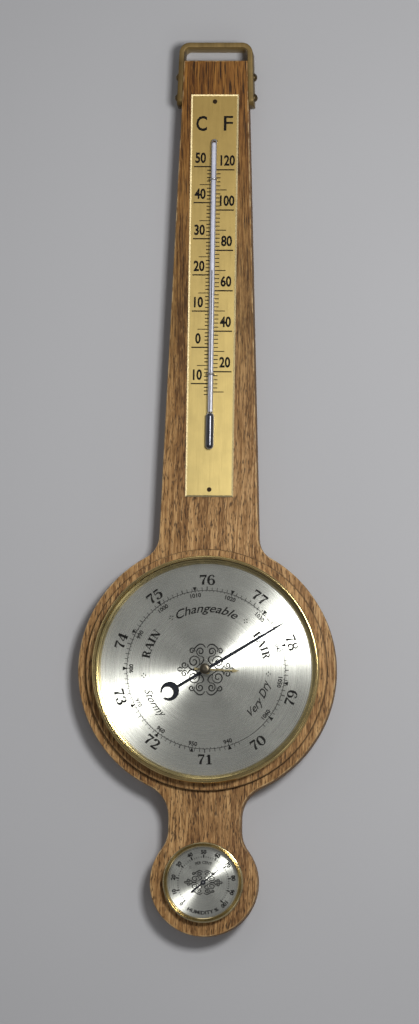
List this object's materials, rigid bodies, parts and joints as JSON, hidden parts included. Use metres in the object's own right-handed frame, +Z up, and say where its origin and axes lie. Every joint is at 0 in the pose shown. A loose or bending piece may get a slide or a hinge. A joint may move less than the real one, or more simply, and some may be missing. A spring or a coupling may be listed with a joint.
{
  "type": "wall barometer",
  "caption": "Banjo-shaped oak wall barometer with a round aneroid dial, a thermometer on the neck, a small hygrometer dial below and a bent strap to hang it by.",
  "frame": {"origin": "the hanging point: the middle of the underside of the strap's top bar, in the plane of the wall", "axes": "+Z up along the neck, the front with its dials facing -Y, +X to the viewer's right"},
  "size_m": [0.161, 0.0336, 0.5623],
  "materials": {
    "oak": "open-pored oak, satin varnish",
    "strap_brass": "brushed, aged brass",
    "screw_brass": "dark, aged brass",
    "gold_plate": "fine-brushed gold-coloured brass with black print",
    "bezel_brass": "polished brass",
    "dark_pin": "dark",
    "tube_glass": "clear tube with a white back",
    "mercury": "liquid metal",
    "staple_wire": "bright wire",
    "clear_glass": "flat, clear",
    "silvered": "silvered, brushed in circles, black print",
    "tin": "pressed sheet",
    "blued_steel": "blued black steel",
    "set_brass": "turned brass",
    "fibre": "pressed fibre",
    "cock_brass": "stamped brass",
    "steel": "bright steel",
    "nickel": "nickelled corrugated sheet",
    "spring_steel": "tempered spring steel",
    "coil_strip": "thin metal strip lined with paper"
  },
  "bodies": {
    "case": {"backboard": "oak", "dial_ring": "oak", "hanging_strap": "strap_brass", "strap_screws": "screw_brass", "thermometer_plate": "gold_plate", "plate_pins": "dark_pin", "thermometer_tube": "tube_glass", "thermometer_fill": "mercury", "tube_staples": "staple_wire", "movement_case": "tin", "case_screws": "steel", "dial_plate": "silvered", "sight_ring": "bezel_brass", "bezel": "bezel_brass", "dial_glass": "clear_glass", "knob_washer": "fibre", "base_plate": "tin", "base_screws": "steel", "aneroid_capsule": "nickel", "capsule_nut": "cock_brass", "mainspring": "spring_steel", "spring_block": "cock_brass", "spring_screws": "steel", "shaft_cocks": "cock_brass", "lower_cock": "cock_brass", "upper_cock": "cock_brass", "cock_pillars": "cock_brass", "cock_screws": "steel", "hairspring_stud": "cock_brass", "hygro_case": "tin", "hygro_dial": "silvered", "hygro_spacer": "bezel_brass", "hygro_bezel": "bezel_brass", "hygro_glass": "clear_glass", "hygro_bush": "cock_brass", "hygro_bridge": "cock_brass", "hygro_post": "cock_brass"},
    "pointer": {"reading_hand": "blued_steel", "pointer_arbor": "steel", "hairspring": "spring_steel"},
    "rocker": {"rocking_shaft": "steel", "pull_chain": "spring_steel"},
    "lever": {"main_lever": "cock_brass", "connecting_link": "steel"},
    "set_pointer": {"set_hand": "set_brass", "set_knob": "set_brass"},
    "hygro_pointer": {"hygro_hand": "blued_steel", "hygro_arbor": "steel", "hygro_coil": "coil_strip"},
    "adjuster": {"adjusting_screw": "screw_brass"}
  },
  "joints": [
    {"name": "pointer_turn", "type": "hinge", "parent": "case", "child": "pointer", "pos_m": [0, -0.0243, -0.3937], "axis": [0, 1, 0], "range_deg": [-258, 66], "stiffness_Nm_per_rad": 0.0004, "deforming": ["hairspring"]},
    {"name": "rocking_shaft_turn", "type": "hinge", "parent": "case", "child": "rocker", "pos_m": [0.036, -0.0103, -0.3937], "axis": [0, 0, 1], "range_deg": [-36, 9.3], "deforming": ["pull_chain"]},
    {"name": "main_lever_swing", "type": "hinge", "parent": "case", "child": "lever", "pos_m": [-0.044, -0.0127, -0.4097], "axis": [0, 0, 1], "range_deg": [-1.3, 0.4], "deforming": ["mainspring", "aneroid_capsule", "capsule_nut"]},
    {"name": "set_hand_turn", "type": "hinge", "parent": "case", "child": "set_pointer", "pos_m": [0, -0.03, -0.3937], "axis": [0, 1, 0], "continuous": true},
    {"name": "hygrometer_turn", "type": "hinge", "parent": "case", "child": "hygro_pointer", "pos_m": [0, -0.02, -0.5257], "axis": [0, 1, 0], "range_deg": [-184.8, 85.2], "stiffness_Nm_per_rad": 0.0002, "deforming": ["hygro_coil"]},
    {"name": "adjusting_screw_turn", "type": "hinge", "parent": "case", "child": "adjuster", "pos_m": [-0.041, -0.004, -0.4097], "axis": [0, 1, 0], "range_deg": [-180, 180]}
  ],
  "couplings": [
    {"joint": "rocking_shaft_turn", "follows": "pointer_turn", "ratio": 0.13889},
    {"joint": "main_lever_swing", "follows": "pointer_turn", "ratio": 0.0047}
  ]
}
